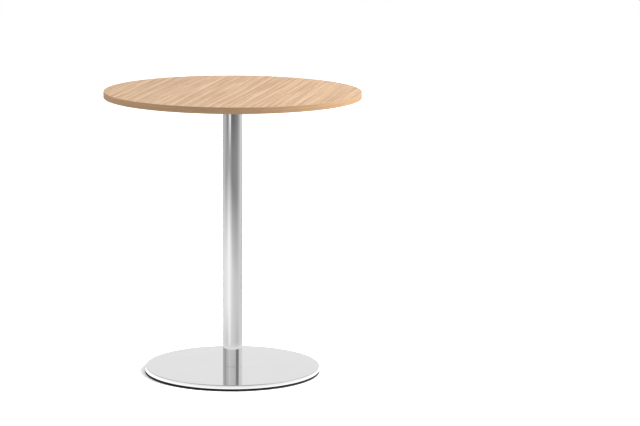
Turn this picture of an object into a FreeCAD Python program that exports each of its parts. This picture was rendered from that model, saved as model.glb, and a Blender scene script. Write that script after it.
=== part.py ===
import FreeCAD, Part
import math
import os
import Sketcher
from FreeCAD import Placement, Rotation, Vector

# Standing-height meeting table: a round veneered top on one slim polished column and a flat
# weighted disc base.  A tie rod clamps the cast spider, the column and the base together, and
# the base stands on four levelling glides that screw in and out of its ballast plate.
#
# Frame: millimetres, +Z up, the origin on the floor under the middle of the table, with the
# glides screwed fully in.  Two spider arms lie along X and two along Y.

SIZES = (
    # overall
    ("overall_height", 1110, "floor to the working surface"),
    ("top_diameter", 1000, "outside of the edge band"),
    ("base_diameter", 685, "outside of the polished cover"),
    ("column_diameter", 76.1, "outside of the tube"),
    # table top
    ("core_thickness", 23.4, "chipboard core"),
    ("veneer_thickness", 0.8, "each face of the board"),
    ("edge_band_thickness", 2, "oak lipping round the board"),
    ("edge_band_round", 1, "softened arris of the lipping"),
    # threaded inserts in the board, and the screws that hold the spider to them
    ("screw_diameter", 6, "shank of a spider screw"),
    ("screw_length", 16, "under the head"),
    ("screw_head_overhang", 2.5, "radial, head beyond the shank"),
    ("screw_head_height", 3.3, "button head"),
    ("screw_head_slope", 2, "radial, rim of the head to its flat crown"),
    ("screw_socket", 4, "across the flats of the hex socket"),
    ("screw_socket_depth", 2, "hex socket"),
    ("screw_hole_clearance", 0.3, "radial, round the shank in the spider"),
    ("screw_seat", 5, "metal between a screw head and the board"),
    ("head_well_clearance", 1, "radial, round the head in the spider"),
    ("thread_clearance", 0.1, "radial, between mating threads"),
    ("insert_wall", 1.9, "radial, metal of a threaded insert"),
    ("insert_length", 13, "length of a threaded insert"),
    ("insert_clearance", 0.05, "glue line round an insert"),
    ("insert_end_gap", 1, "spare depth of the blind hole"),
    # cast spider
    ("arm_count", 4, "arms of the spider"),
    ("arm_reach", 290, "middle of the table to the shoulder of an arm's end"),
    ("arm_nose", 12, "shoulder to the tip of an arm"),
    ("arm_root_width", 48, "near the hub"),
    ("arm_tip_width", 30, "at the shoulder"),
    ("arm_nose_width", 18, "at the tip"),
    ("arm_hub_step", 5, "hub's lower face below the arms"),
    ("arm_tip_depth", 11, "at the shoulder"),
    ("arm_nose_rise", 1, "underside rises this much from shoulder to tip"),
    ("arm_draft", 2, "each side leans in by this much"),
    ("arm_bevel", 3, "lower long edges"),
    ("arm_root_inset", 13, "arms start this far inside the hub"),
    ("casting_wall", 4, "walls and floor of an arm"),
    ("rib_thickness", 3, "rib along the middle of an arm"),
    ("rib_drop", 3, "top of a rib below the board"),
    ("boss_wall", 3, "metal round each screw head"),
    ("inner_screw_radius", 120, "middle of the table to the inner screws"),
    ("outer_screw_inset", 28, "outer screws to the shoulder"),
    ("hub_overhang", 6, "radial, hub beyond the column"),
    ("hub_wall", 7, "round the nut recess"),
    ("hub_floor", 12, "metal under the nut"),
    ("hub_round", 2, "lower edge of the hub"),
    # column
    ("column_wall", 1.5, "tube wall"),
    ("tube_chamfer", 0.3, "deburred ends"),
    ("spigot_clearance", 0.1, "radial, between a spigot and the tube"),
    ("spigot_wall", 5, "ring that enters the tube"),
    ("head_spigot_length", 25, "spider's spigot"),
    ("foot_spigot_length", 20, "turned centring piece on the base"),
    ("foot_spigot_floor", 8, "its floor"),
    # tie rod and its nuts and washers
    ("rod_diameter", 12, "threaded rod"),
    ("rod_clearance", 0.5, "radial, in every plain hole"),
    ("rod_chamfer", 1, "each end"),
    ("rod_tail_top", 3, "stands out of the upper nut"),
    ("rod_tail_foot", 0.5, "stands out of the lower nut"),
    ("rod_head_gap", 8.5, "end of the rod to the board"),
    ("rod_floor_gap", 4, "end of the rod to the floor"),
    ("nut_rim", 3, "radial, rod to the nut's flats"),
    ("nut_height", 10, "upper nut"),
    ("thin_nut_height", 6, "lower nut"),
    ("washer_rim", 5.5, "radial, hole to rim of a washer"),
    ("washer_thickness", 2.5, "both washers"),
    # base
    ("plate_thickness", 12, "steel ballast plate"),
    ("cover_sheet", 1.5, "spun cover"),
    ("cover_clearance", 0.4, "radial, between plate and skirt"),
    ("rim_radius", 2.5, "outer corner of the cover"),
    ("corner_clearance", 0.5, "plate's bevel beyond the cover's inner corner"),
    ("skirt_overhang", 1, "skirt reaches this far below the plate"),
    ("register_diameter", 40, "boss that centres the column on the base"),
    ("register_depth", 1.5, "boss into the plate"),
    ("register_clearance", 0.1, "radial, round the boss, and below it"),
    ("recess_clearance", 5, "radial, round the washer under the plate"),
    # levelling glides
    ("glide_count", 4, "evenly round the base"),
    ("glide_inset", 50, "edge of the base to each glide"),
    ("stud_diameter", 8, "glide's thread"),
    ("stud_end_gap", 0.5, "stud's end below the cover"),
    ("stud_chamfer", 0.8, "stud's end"),
    ("hex_across_flats", 13, "glide's spanner flats"),
    ("hex_height", 2.4, "glide's spanner flats"),
    ("hex_seat_gap", 0.3, "between the flats and the plate, screwed in"),
    ("pad_diameter", 32, "glide's foot"),
    ("pad_height", 5, "glide's foot"),
    ("pad_round", 1, "pad's upper and lower edge"),
    ("pad_floor", 2, "solid bottom of the pad"),
    ("pad_lip", 1, "lip that keeps the button in the pad"),
    ("button_diameter", 13, "stud's end inside the pad"),
    ("lip_overlap", 1.2, "radial, lip over the button"),
    ("swivel_clearance", 0.3, "round the button and its neck"),
    ("notch_count", 16, "finger grips round the pad"),
    ("notch_diameter", 3, "each finger grip"),
)

ARM_ANGLE = 0.0     # direction of the first spider arm, in degrees from +X
GLIDE_ANGLE = 45.0  # direction of the first glide, in degrees from +X
NUT_CHAMFER = 30.0  # slope at which a hexagon's corners are turned off, in degrees
THIN_EDGE = 0.9     # the most of a wall that a fillet or chamfer on its edge may take

doc = FreeCAD.newDocument("standing_table")


# ---------------------------------------------------------------- sizes and expressions

class Size:
    """A length worked out from the sheet: its value now, and the expression that keeps it so."""

    def __init__(self, value, text):
        self.value = float(value)
        self.text = text

    def joined(self, sign, other, value):
        text = other.text if isinstance(other, Size) else "%.12g" % other
        return Size(value, "(%s %s %s)" % (self.text, sign, text))

    def __add__(self, other):
        return self.joined("+", other, self.value + number(other))

    def __sub__(self, other):
        return self.joined("-", other, self.value - number(other))

    def __mul__(self, other):
        return self.joined("*", other, self.value * number(other))

    def __truediv__(self, other):
        return self.joined("/", other, self.value / number(other))

    def __neg__(self):
        return Size(-self.value, "(0 - %s)" % self.text)


def number(thing):
    return thing.value if isinstance(thing, Size) else float(thing)


def smaller(first, second):
    return Size(min(first.value, second.value), "min(%s; %s)" % (first.text, second.text))


def larger(first, second):
    return Size(max(first.value, second.value), "max(%s; %s)" % (first.text, second.text))


def fill_sheet():
    sheet = doc.addObject("Spreadsheet::Sheet", "sizes")
    for row, (alias, value, note) in enumerate(SIZES, start=1):
        sheet.set("A%d" % row, note)
        sheet.set("B%d" % row, str(value))
        sheet.setAlias("B%d" % row, alias)
    doc.recompute()
    return sheet


sizes = fill_sheet()


def size(alias):
    return Size(sizes.get(alias), "sizes." + alias)


def bind(thing, path, length):
    """Keeps a property at a size; a plain number is simply set through an expression too."""
    thing.setExpression(path, length.text if isinstance(length, Size) else "%.12g" % length)


def place(thing, x, y, z, turn=0.0):
    """Puts a sub-part at a place worked out from the sheet, turned about Z."""
    thing.Placement = Placement(
        Vector(number(x), number(y), number(z)), Rotation(Vector(0, 0, 1), turn)
    )
    for axis, length in zip("xyz", (x, y, z)):
        if isinstance(length, Size):
            bind(thing, "Placement.Base." + axis, length)


# heights and radii that several pieces share
top_thickness = size("core_thickness") + size("veneer_thickness") * 2
top_radius = size("top_diameter") / 2
board_underside = size("overall_height") - top_thickness
hub_floor = size("hub_floor")
hub_height = (
    hub_floor + size("washer_thickness") + size("nut_height") + size("rod_tail_top")
    + size("rod_head_gap")
)
column_top = board_underside - hub_height
plate_underside = (
    size("pad_height") + size("swivel_clearance") + size("hex_height") + size("hex_seat_gap")
)
plate_top = plate_underside + size("plate_thickness")
base_top = plate_top + size("cover_sheet")
skirt_foot = plate_underside - size("skirt_overhang")
column_radius = size("column_diameter") / 2
tube_bore = column_radius - size("column_wall")
spigot_radius = tube_bore - size("spigot_clearance")
hub_radius = column_radius + size("hub_overhang")

# tie rod, nuts and washers
rod_radius = size("rod_diameter") / 2
rod_hole = rod_radius + size("rod_clearance")
washer_radius = rod_hole + size("washer_rim")
head_nut_seat = column_top + hub_floor + size("washer_thickness")
rod_head = board_underside - size("rod_head_gap")
rod_foot = size("rod_floor_gap")
foot_nut_foot = rod_foot + size("rod_tail_foot")
foot_washer_foot = foot_nut_foot + size("thin_nut_height")
recess_depth = foot_washer_foot + size("washer_thickness") - plate_underside

# screws and inserts
screw_radius = size("screw_diameter") / 2
screw_head_radius = screw_radius + size("screw_head_overhang")
screw_head_seat = board_underside - size("screw_seat")
insert_bore = screw_radius + size("thread_clearance")
insert_radius = insert_bore + size("insert_wall")
insert_reach = larger(size("insert_length"), size("screw_length") - size("screw_seat"))
outer_screw_radius = size("arm_reach") - size("outer_screw_inset")
screw_radii = (("inner", size("inner_screw_radius")), ("outer", outer_screw_radius))

# levelling glides
glide_circle = size("base_diameter") / 2 - size("glide_inset")
lip_radius = size("button_diameter") / 2 - size("lip_overlap")


# ---------------------------------------------------------------- sketch and body helpers

def new_body(label):
    body = doc.addObject("PartDesign::Body", label)
    body.Label = label
    return body


def origin_part(body, role):
    return next(part for part in body.Origin.OriginFeatures if part.Role == role)


def new_sketch(body, name, plane="XY_Plane", height=None):
    """An empty sketch on one of the body's own origin planes, or parallel to it at a height."""
    sketch = body.newObject("Sketcher::SketchObject", name)
    sketch.AttachmentSupport = (origin_part(body, plane), "")
    sketch.MapMode = "FlatFace"
    if height is not None:
        sketch.AttachmentOffset = Placement(Vector(0, 0, number(height)), Rotation())
        bind(sketch, "AttachmentOffset.Base.z", height)
    return sketch


def dimension(sketch, kind, *parts):
    """Adds one dimension to a sketch and binds it to its size."""
    length = parts[-1]
    index = sketch.addConstraint(Sketcher.Constraint(kind, *parts[:-1], number(length)))
    bind(sketch, "Constraints[%d]" % index, length)


def pin_point(sketch, edge, end, x, y):
    """Holds one point of a sketch at (x, y), where 0 means on the axis."""
    if x == 0:
        sketch.addConstraint(Sketcher.Constraint("PointOnObject", edge, end, -2))
    else:
        dimension(sketch, "DistanceX", -1, 1, edge, end, x)
    if y == 0:
        sketch.addConstraint(Sketcher.Constraint("PointOnObject", edge, end, -1))
    else:
        dimension(sketch, "DistanceY", -1, 1, edge, end, y)


def outline(sketch, points):
    """Draws a closed outline of straight edges through points that are held by their sizes."""
    corners = [Vector(number(x), number(y), 0) for x, y in points]
    count = len(points)
    for k in range(count):
        sketch.addGeometry(Part.LineSegment(corners[k], corners[(k + 1) % count]), False)
    for k in range(count):
        sketch.addConstraint(Sketcher.Constraint("Coincident", k, 2, (k + 1) % count, 1))
    for k, (x, y) in enumerate(points):
        pin_point(sketch, k, 1, x, y)
    return sketch


def circle(sketch, radius, x=0, y=0):
    centre = Vector(number(x), number(y), 0)
    index = sketch.addGeometry(Part.Circle(centre, Vector(0, 0, 1), number(radius)), False)
    if x == 0 and y == 0:
        sketch.addConstraint(Sketcher.Constraint("Coincident", index, 3, -1, 1))
    else:
        pin_point(sketch, index, 3, x, y)
    dimension(sketch, "Radius", index, radius)
    return sketch


def revolve(body, name, points):
    """Turns an outline of (radius, height) points about the body's Z axis."""
    sketch = outline(new_sketch(body, name + "_section", "XZ_Plane"), points)
    turned = body.newObject("PartDesign::Revolution", name)
    turned.Profile = sketch
    turned.ReferenceAxis = (sketch, ["V_Axis"])
    turned.Angle = 360
    doc.recompute()
    return turned


def pad(body, name, sketch, length, down=False):
    made = body.newObject("PartDesign::Pad", name)
    made.Profile = sketch
    made.Length = number(length)
    bind(made, "Length", length)
    made.Reversed = down
    doc.recompute()
    return made


def pocket(body, name, sketch, length, up=False):
    """Cuts a sketch into the body, down from its plane or up from it."""
    before = body.Shape.Volume
    cut = body.newObject("PartDesign::Pocket", name)
    cut.Profile = sketch
    cut.Length = number(length)
    bind(cut, "Length", length)
    cut.Reversed = up
    doc.recompute()
    if not body.Shape.Volume < before:
        raise RuntimeError("%s cuts nothing" % name)
    return cut


def polar(body, name, originals, count):
    pattern = body.newObject("PartDesign::PolarPattern", name)
    pattern.Originals = originals
    pattern.Axis = (origin_part(body, "Z_Axis"), [""])
    pattern.Angle = 360
    bind(pattern, "Occurrences", count)
    body.Tip = pattern
    doc.recompute()
    return pattern


def round_edges(feature, places):
    """Names of a feature's full-circle edges about Z at the given (radius, height) places."""
    found = []
    for k, edge in enumerate(feature.Shape.Edges, start=1):
        curve = edge.Curve
        if not isinstance(curve, Part.Circle):
            continue
        centred = math.hypot(curve.Center.x, curve.Center.y) < 1e-4
        for radius, height in places:
            near = abs(curve.Radius - number(radius)) + abs(curve.Center.z - number(height))
            if centred and near < 1e-4:
                found.append("Edge%d" % k)
    if len(found) != len(places):
        raise RuntimeError("%s: found %s for %d edges" % (feature.Label, found, len(places)))
    return found


def dress(body, kind, name, feature, places, length):
    """A fillet or chamfer on circular edges of a turned feature, found by radius and height."""
    made = body.newObject("PartDesign::" + kind, name)
    made.Base = (feature, round_edges(feature, places))
    path = "Radius" if kind == "Fillet" else "Size"
    bind(made, path, length)
    doc.recompute()
    return made


def primitive(kind, name, **measures):
    """A Part primitive whose measures are bound to the sheet."""
    made = doc.addObject("Part::" + kind, name)
    for path, length in measures.items():
        bind(made, path, length)
    return made


def lift(thing, height):
    """Raises a primitive inside its own sub-part."""
    thing.Placement.Base = Vector(0, 0, number(height))
    bind(thing, "Placement.Base.z", height)
    return thing


def hexagon(name, across_flats, height):
    """Six-sided prism whose size is given across its flats."""
    corner = across_flats / (2 * math.cos(math.radians(30)))
    return primitive("Prism", name, Circumradius=corner, Height=height)


def cut_away(label, base, tool):
    made = doc.addObject("Part::Cut", label)
    made.Base = base
    made.Tool = tool
    return made


def joined(kind, label, shapes):
    made = doc.addObject("Part::" + kind, label)
    made.Shapes = shapes
    return made


def spread(label, master, spots):
    """One sub-part of separate, equal solids: a copy of the master at each spot."""
    doc.recompute()
    copies = []
    for spot in spots:
        copy = master.Shape.copy()
        copy.Placement = spot
        copies.append(copy)
    group = doc.addObject("Part::Feature", label)
    group.Shape = Part.makeCompound(copies)
    return group


def around(count, radius, height, first_angle):
    """Evenly spaced placements on a circle about Z, each turned to face outwards."""
    spots = []
    for k in range(count):
        angle = first_angle + 360.0 * k / count
        turn = Rotation(Vector(0, 0, 1), angle)
        spots.append(Placement(turn.multVec(Vector(radius, 0, height)), turn))
    return spots


def arm_spots(height):
    """Where the spider screws and the inserts go: an inner and an outer one on each arm."""
    count = int(number(size("arm_count")))
    spots = []
    for _, radius in screw_radii:
        spots += around(count, radius.value, number(height), ARM_ANGLE)
    return spots


# ---------------------------------------------------------------- table top

def board_layer(label, thickness, height, hole_depth=None):
    """A round layer of the board, with holes for the inserts up from its underside."""
    body = new_body(label)
    disc = circle(new_sketch(body, label + "_sketch"), top_radius - size("edge_band_thickness"))
    pad(body, label + "_disc", disc, thickness)
    if hole_depth is not None:
        sketch = new_sketch(body, label + "_hole_sketch")
        for _, radius in screw_radii:
            circle(sketch, insert_radius + size("insert_clearance"), radius, 0)
        holes = pocket(body, label + "_hole", sketch, hole_depth, up=True)
        polar(body, label + "_holes", [holes], size("arm_count"))
    place(body, 0, 0, height, ARM_ANGLE)
    return body


def make_board():
    veneer = size("veneer_thickness")
    core_foot = board_underside + veneer
    depth = insert_reach + size("insert_end_gap") - veneer
    return [
        board_layer("top_core", size("core_thickness"), core_foot, depth),
        board_layer("top_face_veneer", veneer, size("overall_height") - veneer),
        board_layer("top_backing_veneer", veneer, board_underside, veneer),
    ]


def make_edge_band():
    body = new_body("top_edge_band")
    inner = top_radius - size("edge_band_thickness")
    band = revolve(body, "band", [
        (inner, 0),
        (top_radius, 0),
        (top_radius, top_thickness),
        (inner, top_thickness),
    ])
    corners = [(top_radius, 0), (top_radius, top_thickness)]
    arris = smaller(size("edge_band_round"), size("edge_band_thickness") * THIN_EDGE)
    dress(body, "Fillet", "band_arris", band, corners, arris)
    place(body, 0, 0, board_underside)
    return body


def make_inserts():
    length = size("insert_length")
    blank = primitive("Cylinder", "insert_blank", Radius=insert_radius, Height=length)
    bore = primitive("Cylinder", "insert_bore", Radius=insert_bore, Height=length)
    return spread("top_inserts", cut_away("insert", blank, bore), arm_spots(board_underside))


def make_spider_screws():
    """Button-head socket screws: the shank points up from the seat under the head."""
    head_height = size("screw_head_height")
    shank = primitive("Cylinder", "screw_shank", Radius=screw_radius, Height=size("screw_length"))
    crown = screw_head_radius - size("screw_head_slope")
    head = primitive(
        "Cone", "screw_head", Radius1=crown, Radius2=screw_head_radius, Height=head_height,
    )
    lift(head, -head_height)
    socket = hexagon("screw_socket", size("screw_socket"), size("screw_socket_depth"))
    lift(socket, -head_height)
    blank = joined("MultiFuse", "screw_blank", [shank, head])
    return spread("spider_screws", cut_away("screw", blank, socket), arm_spots(screw_head_seat))


# ---------------------------------------------------------------- cast spider

arm_root = hub_radius - size("arm_root_inset")
arm_root_depth = hub_height - size("arm_hub_step")


def along_arm(radius, at_root, at_tip):
    """A size that changes evenly along an arm, from its root to its shoulder."""
    share = (size("arm_reach") - radius) / (size("arm_reach") - arm_root)
    return at_tip + (at_root - at_tip) * share


def arm_depth(radius):
    return along_arm(radius, arm_root_depth, size("arm_tip_depth"))


def arm_width(radius):
    return along_arm(radius, size("arm_root_width"), size("arm_tip_width"))


def arm_section(body, name, distance, width, depth):
    """Section across an arm: flat on top, sides leaning in, lower edges bevelled."""
    half = width / 2
    foot = half - size("arm_draft")
    bevel = size("arm_bevel")
    underside = hub_height - depth
    sketch = new_sketch(body, name, "YZ_Plane", distance)
    return outline(sketch, [
        (-half, hub_height),
        (half, hub_height),
        (foot, underside + bevel),
        (foot - bevel, underside),
        (bevel - foot, underside),
        (-foot, underside + bevel),
    ])


def hollow_section(body, name, distance):
    """Section of the hollow inside an arm, open to the board."""
    wall = size("casting_wall")
    half = arm_width(distance) / 2 - wall
    foot = half - size("arm_draft")
    floor = hub_height - arm_depth(distance) + wall
    sketch = new_sketch(body, name, "YZ_Plane", distance)
    return outline(sketch, [(-half, hub_height), (half, hub_height), (foot, floor), (-foot, floor)])


def loft(body, kind, name, sections):
    made = body.newObject("PartDesign::" + kind, name)
    made.Profile = sections[0]
    made.Sections = sections[1:]
    made.Ruled = True
    doc.recompute()
    return made


def make_hub(body):
    """Turned form of the hub, with the spigot that enters the column."""
    spigot_bore = spigot_radius - size("spigot_wall")
    hub = revolve(body, "hub", [
        (rod_hole, 0),
        (spigot_bore, 0),
        (spigot_bore, -size("head_spigot_length")),
        (spigot_radius, -size("head_spigot_length")),
        (spigot_radius, 0),
        (hub_radius, 0),
        (hub_radius, hub_height),
        (rod_hole, hub_height),
    ])
    return dress(body, "Fillet", "hub_edge", hub, [(hub_radius, 0)], size("hub_round"))


def make_arm(body):
    """One hollow arm along +X with its rib and two screw bosses, to repeat about Z."""
    reach = size("arm_reach")
    wall = size("casting_wall")
    nose_depth = size("arm_tip_depth") - size("arm_nose_rise")
    shell = loft(body, "AdditiveLoft", "arm_shell", [
        arm_section(body, "arm_root_section", arm_root, size("arm_root_width"), arm_root_depth),
        arm_section(body, "arm_tip_section", reach, size("arm_tip_width"), size("arm_tip_depth")),
        arm_section(body, "arm_nose_section", reach + size("arm_nose"),
                    size("arm_nose_width"), nose_depth),
    ])
    hollow = loft(body, "SubtractiveLoft", "arm_hollow", [
        hollow_section(body, "hollow_root_section", hub_radius),
        hollow_section(body, "hollow_tip_section", reach - wall),
    ])
    features = [shell, hollow, make_rib(body)]
    for where, radius in screw_radii:
        sketch = new_sketch(body, where + "_boss_sketch", "XY_Plane", hub_height)
        circle(sketch, boss_radius, radius, 0)
        height = arm_depth(radius) - wall / 2
        features.append(pad(body, where + "_boss", sketch, height, down=True))
    depths = (
        ("head_wells", well_radius, hub_height - size("screw_seat")),
        ("screw_holes", screw_radius + size("screw_hole_clearance"), hub_height),
    )
    for name, hole, depth in depths:
        sketch = new_sketch(body, name + "_sketch")
        for _, radius in screw_radii:
            circle(sketch, hole, radius, 0)
        features.append(pocket(body, name, sketch, depth, up=True))
    return features


well_radius = screw_head_radius + size("head_well_clearance")
boss_radius = well_radius + size("boss_wall")


def make_rib(body):
    """Upright rib along the middle of an arm, from the hub's wall to the outer boss."""
    inner = hub_radius - size("hub_wall") / 2
    sunk = size("casting_wall") / 2
    crest = hub_height - size("rib_drop")
    sketch = outline(new_sketch(body, "rib_sketch", "XZ_Plane"), [
        (inner, hub_height - arm_depth(inner) + sunk),
        (outer_screw_radius, hub_height - arm_depth(outer_screw_radius) + sunk),
        (outer_screw_radius, crest),
        (inner, crest),
    ])
    rib = pad(body, "rib", sketch, size("rib_thickness"))
    rib.SideType = "Symmetric"
    doc.recompute()
    return rib


def make_spider():
    body = new_body("top_spider")
    make_hub(body)
    polar(body, "arms", make_arm(body), size("arm_count"))
    recess = new_sketch(body, "nut_recess_sketch", "XY_Plane", hub_height)
    circle(recess, hub_radius - size("hub_wall"))
    pocket(body, "nut_recess", recess, hub_height - hub_floor)
    place(body, 0, 0, column_top, ARM_ANGLE)
    return body


# ---------------------------------------------------------------- column and tie rod

def make_column_tube():
    body = new_body("column_tube")
    length = column_top - base_top
    sketch = new_sketch(body, "tube_sketch")
    circle(sketch, column_radius)
    circle(sketch, tube_bore)
    tube = pad(body, "tube", sketch, length)
    ends = [(r, z) for r in (column_radius, tube_bore) for z in (Size(0, "0"), length)]
    deburr = smaller(size("tube_chamfer"), size("column_wall") * THIN_EDGE / 2)
    dress(body, "Chamfer", "tube_ends", tube, ends, deburr)
    place(body, 0, 0, base_top)
    return body


def make_foot_spigot():
    """Turned cup inside the column's foot; its boss centres the column on the base."""
    body = new_body("column_foot_spigot")
    boss = size("register_diameter") / 2
    drop = size("cover_sheet") + size("register_depth")
    bore = spigot_radius - size("spigot_wall")
    revolve(body, "spigot", [
        (rod_hole, -drop),
        (boss, -drop),
        (boss, 0),
        (spigot_radius, 0),
        (spigot_radius, size("foot_spigot_length")),
        (bore, size("foot_spigot_length")),
        (bore, size("foot_spigot_floor")),
        (rod_hole, size("foot_spigot_floor")),
    ])
    place(body, 0, 0, base_top)
    return body


def make_tie_rod():
    body = new_body("tie_rod")
    length = rod_head - rod_foot
    bevel = size("rod_chamfer")
    revolve(body, "rod", [
        (0, 0),
        (rod_radius - bevel, 0),
        (rod_radius, bevel),
        (rod_radius, length - bevel),
        (rod_radius - bevel, length),
        (0, length),
    ])
    place(body, 0, 0, rod_foot)
    return body


def make_washer(label, underside):
    thickness = size("washer_thickness")
    disc = primitive("Cylinder", label + "_disc", Radius=washer_radius, Height=thickness)
    hole = primitive("Cylinder", label + "_hole", Radius=rod_hole, Height=thickness)
    washer = cut_away(label, disc, hole)
    place(washer, 0, 0, underside)
    return washer


def make_nut(label, height, underside):
    """A hexagon with its corners turned off at both ends, and a bore for the rod."""
    flat = rod_radius + size("nut_rim")
    wide = flat + height * math.tan(math.radians(90 - NUT_CHAMFER))
    prism = hexagon(label + "_hexagon", flat * 2, height)
    upper = primitive("Cone", label + "_upper_turn", Radius1=wide, Radius2=flat, Height=height)
    lower = primitive("Cone", label + "_lower_turn", Radius1=flat, Radius2=wide, Height=height)
    turned = joined("MultiCommon", label + "_turned", [prism, upper, lower])
    bore = primitive(
        "Cylinder", label + "_bore", Radius=rod_radius + size("thread_clearance"), Height=height,
    )
    nut = cut_away(label, turned, bore)
    place(nut, 0, 0, underside)
    return nut


# ---------------------------------------------------------------- base

def make_base_cover():
    """Spun cover: a flat disc with its rim turned down over the ballast plate."""
    body = new_body("base_cover")
    outer = size("base_diameter") / 2
    sheet = size("cover_sheet")
    hole = size("register_diameter") / 2 + size("register_clearance")
    height = base_top - skirt_foot
    dish = revolve(body, "dish", [
        (hole, height - sheet),
        (outer - sheet, height - sheet),
        (outer - sheet, 0),
        (outer, 0),
        (outer, height),
        (hole, height),
    ])
    rim = dress(body, "Fillet", "rim", dish, [(outer, height)], size("rim_radius"))
    inner = size("rim_radius") - sheet
    if inner.value > 0:
        corner = [(outer - sheet, height - sheet)]
        dress(body, "Fillet", "rim_inside", rim, corner, inner)
    place(body, 0, 0, skirt_foot)
    return body


def make_base_plate():
    """Steel ballast disc: centring recess above, nut recess below, tapped for the glides."""
    body = new_body("base_plate")
    outer = size("base_diameter") / 2 - size("cover_sheet") - size("cover_clearance")
    thickness = size("plate_thickness")
    register = size("register_diameter") / 2 + size("register_clearance")
    register_floor = thickness - size("register_depth") - size("register_clearance")
    nut_recess = washer_radius + size("recess_clearance")
    disc = revolve(body, "disc", [
        (rod_hole, recess_depth),
        (nut_recess, recess_depth),
        (nut_recess, 0),
        (outer, 0),
        (outer, thickness),
        (register, thickness),
        (register, register_floor),
        (rod_hole, register_floor),
    ])
    bevel = size("rim_radius") - size("cover_sheet") + size("corner_clearance")
    dress(body, "Chamfer", "disc_bevel", disc, [(outer, thickness)], bevel)
    tapped = new_sketch(body, "tapped_sketch")
    hole = size("stud_diameter") / 2 + size("thread_clearance")
    turn = math.radians(GLIDE_ANGLE)
    circle(tapped, hole, glide_circle * math.cos(turn), glide_circle * math.sin(turn))
    holes = pocket(body, "tapped_hole", tapped, thickness, up=True)
    polar(body, "tapped_holes", [holes], size("glide_count"))
    place(body, 0, 0, plate_underside)
    return body


# ---------------------------------------------------------------- levelling glides

def glide_place(thing, index):
    turn = math.radians(GLIDE_ANGLE + 360.0 * index / number(size("glide_count")))
    place(thing, glide_circle * math.cos(turn), glide_circle * math.sin(turn), 0)


def make_glide_pad(index):
    """Moulded foot: a socket that holds the stud's button, and finger grips round the rim."""
    name = "glide_pad_%d" % (index + 1)
    body = new_body(name)
    radius = size("pad_diameter") / 2
    bevel = size("pad_round")
    socket = size("button_diameter") / 2 + size("swivel_clearance")
    height = size("pad_height")
    revolve(body, name + "_form", [
        (0, 0),
        (radius - bevel, 0),
        (radius, bevel),
        (radius, height - bevel),
        (radius - bevel, height),
        (lip_radius, height),
        (lip_radius, height - size("pad_lip")),
        (socket, height - size("pad_lip")),
        (socket, size("pad_floor")),
        (0, size("pad_floor")),
    ])
    grip = circle(new_sketch(body, name + "_grip_sketch"), size("notch_diameter") / 2, radius, 0)
    notch = pocket(body, name + "_grip", grip, height, up=True)
    polar(body, name + "_grips", [notch], size("notch_count"))
    glide_place(body, index)
    return body


def make_glide_stud(index):
    """Steel stud: button in the pad, neck, spanner flats, and the thread into the plate."""
    name = "glide_stud_%d" % (index + 1)
    play = size("swivel_clearance")
    button_foot = size("pad_floor") + play / 2
    button_top = size("pad_height") - size("pad_lip") - play / 2
    hex_foot = size("pad_height") + play
    hex_top = hex_foot + size("hex_height")
    stud_top = plate_top - size("stud_end_gap")
    bevel = size("stud_chamfer")
    radius = size("stud_diameter") / 2
    button = primitive(
        "Cylinder", name + "_button",
        Radius=size("button_diameter") / 2, Height=button_top - button_foot,
    )
    lift(button, button_foot)
    neck = primitive(
        "Cylinder", name + "_neck", Radius=lip_radius - play, Height=hex_foot - button_top,
    )
    lift(neck, button_top)
    flats = hexagon(name + "_flats", size("hex_across_flats"), size("hex_height"))
    lift(flats, hex_foot)
    thread = primitive(
        "Cylinder", name + "_thread", Radius=radius, Height=stud_top - bevel - hex_top,
    )
    lift(thread, hex_top)
    tip = primitive(
        "Cone", name + "_tip", Radius1=radius, Radius2=radius - bevel, Height=bevel,
    )
    lift(tip, stud_top - bevel)
    stud = joined("MultiFuse", name, [button, neck, flats, thread, tip])
    glide_place(stud, index)
    return stud


# ---------------------------------------------------------------- assembly and export

def make_all():
    parts = make_board() + [
        make_edge_band(),
        make_inserts(),
        make_spider_screws(),
        make_spider(),
        make_washer("head_washer", column_top + hub_floor),
        make_nut("head_nut", size("nut_height"), head_nut_seat),
        make_column_tube(),
        make_tie_rod(),
        make_foot_spigot(),
        make_base_cover(),
        make_base_plate(),
        make_washer("foot_washer", foot_washer_foot),
        make_nut("foot_nut", size("thin_nut_height"), foot_nut_foot),
    ]
    for index in range(int(number(size("glide_count")))):
        parts.append(make_glide_pad(index))
        parts.append(make_glide_stud(index))
    return parts


def check(parts):
    doc.recompute()
    for thing in doc.Objects:
        if "Invalid" in thing.State or "Error" in thing.State:
            raise RuntimeError("%s is %s" % (thing.Label, thing.State))
    for part in parts:
        if part.Shape.isNull() or not part.Shape.isValid() or not part.Shape.Solids:
            raise RuntimeError("%s has no valid shape" % part.Label)


def export(parts):
    os.makedirs("parts", exist_ok=True)
    for part in parts:
        part.Shape.exportStep("parts/%s.step" % part.Label)
        box = part.Shape.BoundBox
        print("%-20s solids %d  z %8.2f to %8.2f  volume %.1f cm3" % (
            part.Label, len(part.Shape.Solids), box.ZMin, box.ZMax, part.Shape.Volume / 1000,
        ))


made = make_all()
check(made)
export(made)
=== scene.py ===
"""A standing meeting table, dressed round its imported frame: a round oak-veneered top on a cast
spider, one chromed column, and a polished disc base on four levelling glides.

It is laid out as an add-on.  Sizes, finishes and studio settings are scene properties, every
piece or group of like pieces has an operator, and main() runs the operators in order.
Lengths are in metres, +Z is up, and the front of the table faces -Y."""

import math
import bmesh
import bpy
from bpy.props import FloatProperty, FloatVectorProperty, IntProperty, PointerProperty
from mathutils import Euler, Matrix, Vector


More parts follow.
